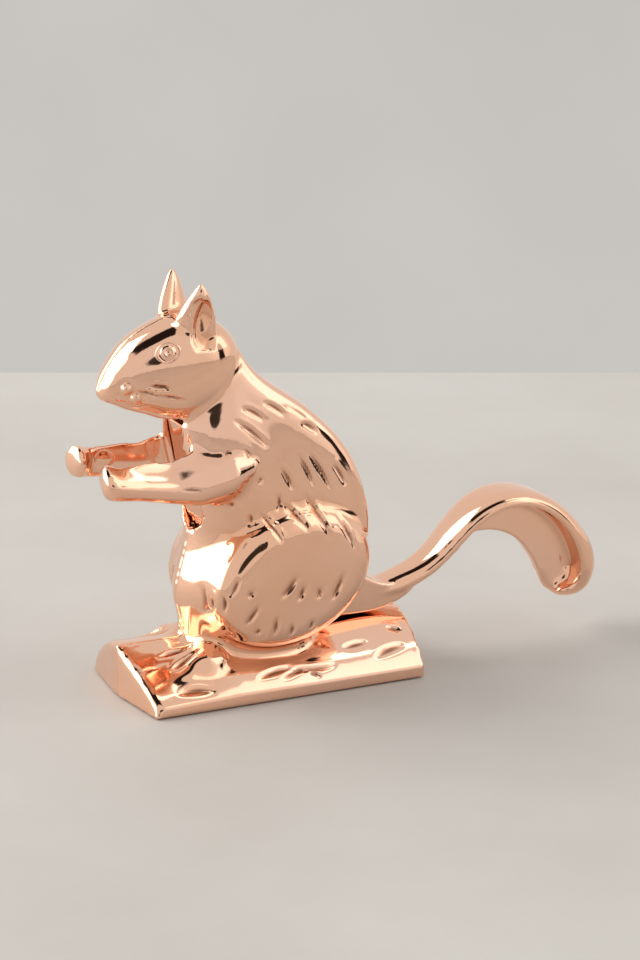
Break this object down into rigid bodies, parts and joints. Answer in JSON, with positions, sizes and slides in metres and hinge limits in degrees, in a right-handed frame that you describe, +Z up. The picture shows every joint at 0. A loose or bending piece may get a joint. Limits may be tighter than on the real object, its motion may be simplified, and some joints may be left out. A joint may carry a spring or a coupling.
{
  "type": "squirrel lever nutcracker",
  "caption": "Free-standing cast-metal lever nutcracker shaped as a squirrel on a log; raising the tail opens the jaw behind the paws and pressing it down cracks the nut.",
  "frame": {"origin": "middle of the log's underside, on the plane that the felt pad rests on", "axes": "+X from the squirrel's nose towards its tail, +Y towards its right side, +Z up"},
  "size_m": [0.193, 0.056, 0.1442],
  "materials": {
    "copper_plate": "polished copper plate on a zinc die casting",
    "steel": "plain turned steel",
    "nylon": "natural nylon",
    "felt": "pressed black felt"
  },
  "bodies": {
    "body": {"left_body_shell": "copper_plate", "right_body_shell": "copper_plate", "pivot_pin": "steel", "left_pivot_washer": "nylon", "right_pivot_washer": "nylon", "base_pad": "felt", "nape_screw": "steel", "belly_screw": "steel", "log_front_screw": "steel", "log_rear_screw": "steel", "head_dowel": "steel", "back_dowel": "steel"},
    "lever": {"tail_lever": "copper_plate"}
  },
  "joints": [
    {"name": "tail_lift", "type": "hinge", "parent": "body", "child": "lever", "pos_m": [-0.02, 0, 0.102], "axis": [0, -1, 0], "range_deg": [0, 20]}
  ]
}
